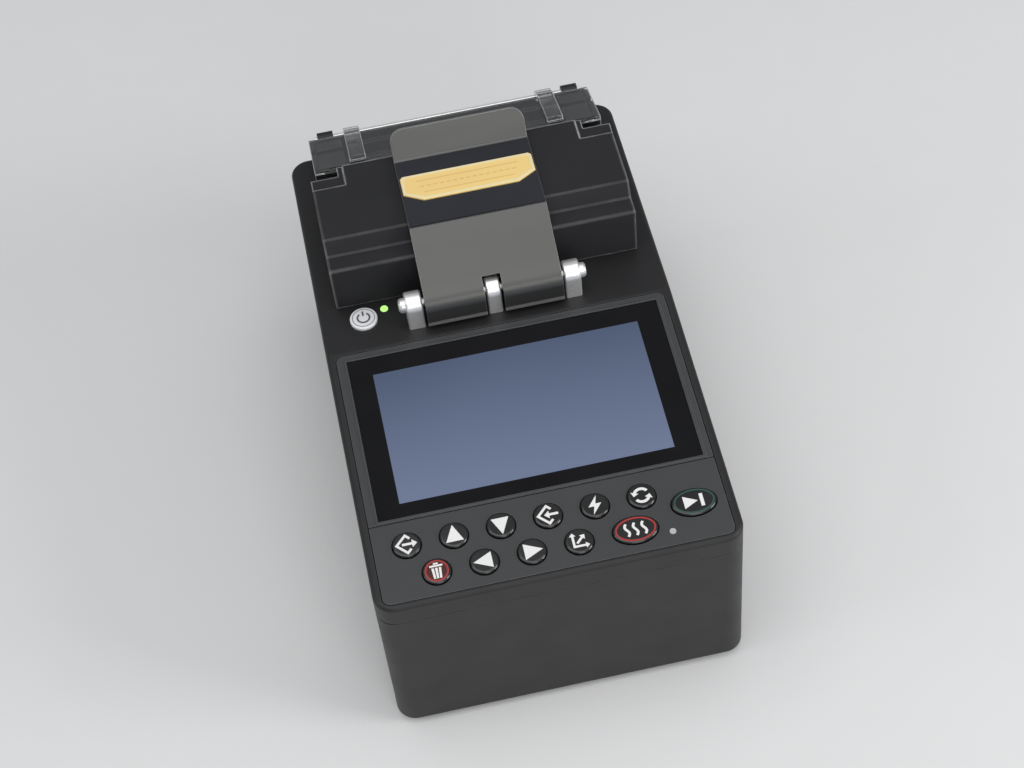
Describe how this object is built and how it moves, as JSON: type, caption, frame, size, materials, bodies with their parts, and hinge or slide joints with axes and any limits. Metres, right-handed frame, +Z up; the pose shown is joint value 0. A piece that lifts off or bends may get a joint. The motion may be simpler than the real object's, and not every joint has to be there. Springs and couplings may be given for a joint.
{
  "type": "fiber fusion splicer",
  "caption": "Handheld optical fiber fusion splicer with tilted screen and keypad, hinged wind cover over the splice bay, and a clear-lidded sleeve heater at the back.",
  "frame": {"origin": "centre of the footprint, on the surface that the rubber feet stand on", "axes": "+Z up, +Y from the keypad towards the heater at the back, +X to the user's right"},
  "size_m": [0.125, 0.203, 0.1201],
  "materials": {
    "case_plastic": "fine moulded texture, black",
    "hood_plastic": "fine moulded texture, black",
    "panel_plastic": "satin, charcoal",
    "screen_glass": "polished black border over the display",
    "display": "blue-grey backlit panel",
    "key_plastic": "satin black",
    "icon_print": "white print",
    "print_red": "red print",
    "print_green": "dark green print",
    "print_grey": "grey print",
    "button_white": "gloss white",
    "light_green": "clear green, lit",
    "light_grey": "clear, unlit",
    "strap_metal": "satin dark nickel",
    "polished_steel": "polished",
    "plain_steel": "turned",
    "plate_black": "satin black",
    "gold": "brushed gold",
    "rubber": "matt",
    "board_green": "solder mask",
    "battery_wrap": "shrink wrap",
    "aluminium": "machined",
    "dark_aluminium": "black anodised",
    "ceramic": "ground zirconia",
    "brass": "turned",
    "clear_acrylic": "polished clear",
    "port_plastic": "plain",
    "lens": "black barrel"
  },
  "bodies": {
    "main_body": {"lower_case": "case_plastic", "upper_case": "case_plastic", "battery_door": "case_plastic", "screen_bezel": "panel_plastic", "keypad_plate": "panel_plastic", "display_glass": "screen_glass", "lcd_module": "display", "keypad_board": "board_green", "main_board": "board_green", "battery_pack": "battery_wrap", "rubber_feet": "rubber", "case_screws": "plain_steel", "tripod_insert": "brass", "dc_jack": "port_plastic", "usb_port": "plain_steel", "power_light": "light_green", "keypad_light": "light_grey", "hinge_posts": "polished_steel", "hinge_pin": "polished_steel", "splice_base": "aluminium", "v_groove_block": "ceramic", "guide_rods": "plain_steel", "electrodes": "plain_steel", "electrode_holders": "dark_aluminium", "electrode_thumbscrews": "brass", "objective_lenses": "lens", "feed_actuators": "plain_steel", "heater_housing": "case_plastic", "heater_trough": "dark_aluminium", "heater_end_blocks": "dark_aluminium", "heater_hinge_pin": "polished_steel"},
    "wind_cover": {"wind_cover": "hood_plastic", "hinge_strap": "strap_metal", "strap_knuckles": "plain_steel", "name_plate": "plate_black", "gold_badge": "gold", "strap_screws": "plain_steel", "hood_lamps": "light_grey", "pressure_feet": "ceramic"},
    "heater_lid": {"heater_lid": "clear_acrylic", "lid_brackets": "clear_acrylic"},
    "left_carriage": {"feed_carriage_left": "dark_aluminium", "clamp_pin_left": "plain_steel"},
    "right_carriage": {"feed_carriage_right": "dark_aluminium", "clamp_pin_right": "plain_steel"},
    "left_clamp": {"sheath_clamp_left": "aluminium"},
    "right_clamp": {"sheath_clamp_right": "aluminium"},
    "power_button": {"power_button": "button_white"},
    "key_confirm": {"key_confirm": "key_plastic"},
    "key_up": {"key_up": "key_plastic"},
    "key_down": {"key_down": "key_plastic"},
    "key_next": {"key_next": "key_plastic"},
    "key_arc": {"key_arc": "key_plastic"},
    "key_reset": {"key_reset": "key_plastic"},
    "key_cancel": {"key_cancel": "key_plastic"},
    "key_left": {"key_left": "key_plastic"},
    "key_right": {"key_right": "key_plastic"},
    "key_view": {"key_view": "key_plastic"},
    "key_heat": {"key_heat": "key_plastic"},
    "key_set": {"key_set": "key_plastic"}
  },
  "joints": [
    {"name": "wind_cover_hinge", "type": "hinge", "parent": "main_body", "child": "wind_cover", "pos_m": [0, 0.01175, 0.09175], "axis": [1, 0, 0], "range_deg": [0, 105]},
    {"name": "heater_lid_hinge", "type": "hinge", "parent": "main_body", "child": "heater_lid", "pos_m": [0, 0.0986, 0.0946], "axis": [-1, 0, 0], "range_deg": [0, 95]},
    {"name": "left_feed", "type": "slide", "parent": "main_body", "child": "left_carriage", "axis": [-1, 0, 0], "range_m": [-0.003, 0.003]},
    {"name": "left_clamp_hinge", "type": "hinge", "parent": "left_carriage", "child": "left_clamp", "pos_m": [0, 0.0585, 0.088], "axis": [-1, 0, 0], "range_deg": [0, 95]},
    {"name": "right_feed", "type": "slide", "parent": "main_body", "child": "right_carriage", "axis": [1, 0, 0], "range_m": [-0.003, 0.003]},
    {"name": "right_clamp_hinge", "type": "hinge", "parent": "right_carriage", "child": "right_clamp", "pos_m": [0, 0.0585, 0.088], "axis": [-1, 0, 0], "range_deg": [0, 95]},
    {"name": "key_confirm_press", "type": "slide", "parent": "main_body", "child": "key_confirm", "axis": [0, 0.0802, -0.9968], "range_m": [0, 0.0008], "stiffness_N_per_m": 900},
    {"name": "key_up_press", "type": "slide", "parent": "main_body", "child": "key_up", "axis": [0, 0.0802, -0.9968], "range_m": [0, 0.0008], "stiffness_N_per_m": 900},
    {"name": "key_down_press", "type": "slide", "parent": "main_body", "child": "key_down", "axis": [0, 0.0802, -0.9968], "range_m": [0, 0.0008], "stiffness_N_per_m": 900},
    {"name": "key_next_press", "type": "slide", "parent": "main_body", "child": "key_next", "axis": [0, 0.0802, -0.9968], "range_m": [0, 0.0008], "stiffness_N_per_m": 900},
    {"name": "key_arc_press", "type": "slide", "parent": "main_body", "child": "key_arc", "axis": [0, 0.0802, -0.9968], "range_m": [0, 0.0008], "stiffness_N_per_m": 900},
    {"name": "key_reset_press", "type": "slide", "parent": "main_body", "child": "key_reset", "axis": [0, 0.0802, -0.9968], "range_m": [0, 0.0008], "stiffness_N_per_m": 900},
    {"name": "key_cancel_press", "type": "slide", "parent": "main_body", "child": "key_cancel", "axis": [0, 0.0802, -0.9968], "range_m": [0, 0.0008], "stiffness_N_per_m": 900},
    {"name": "key_left_press", "type": "slide", "parent": "main_body", "child": "key_left", "axis": [0, 0.0802, -0.9968], "range_m": [0, 0.0008], "stiffness_N_per_m": 900},
    {"name": "key_right_press", "type": "slide", "parent": "main_body", "child": "key_right", "axis": [0, 0.0802, -0.9968], "range_m": [0, 0.0008], "stiffness_N_per_m": 900},
    {"name": "key_view_press", "type": "slide", "parent": "main_body", "child": "key_view", "axis": [0, 0.0802, -0.9968], "range_m": [0, 0.0008], "stiffness_N_per_m": 900},
    {"name": "key_heat_press", "type": "slide", "parent": "main_body", "child": "key_heat", "axis": [0, 0.0802, -0.9968], "range_m": [0, 0.0008], "stiffness_N_per_m": 900},
    {"name": "key_set_press", "type": "slide", "parent": "main_body", "child": "key_set", "axis": [0, 0.0802, -0.9968], "range_m": [0, 0.0008], "stiffness_N_per_m": 900},
    {"name": "power_button_press", "type": "slide", "parent": "main_body", "child": "power_button", "axis": [0, 0, -1], "range_m": [0, 0.0008], "stiffness_N_per_m": 900}
  ],
  "couplings": [
    {"joint": "left_clamp_hinge", "follows": "wind_cover_hinge", "ratio": 0.9},
    {"joint": "right_clamp_hinge", "follows": "wind_cover_hinge", "ratio": 0.9}
  ]
}
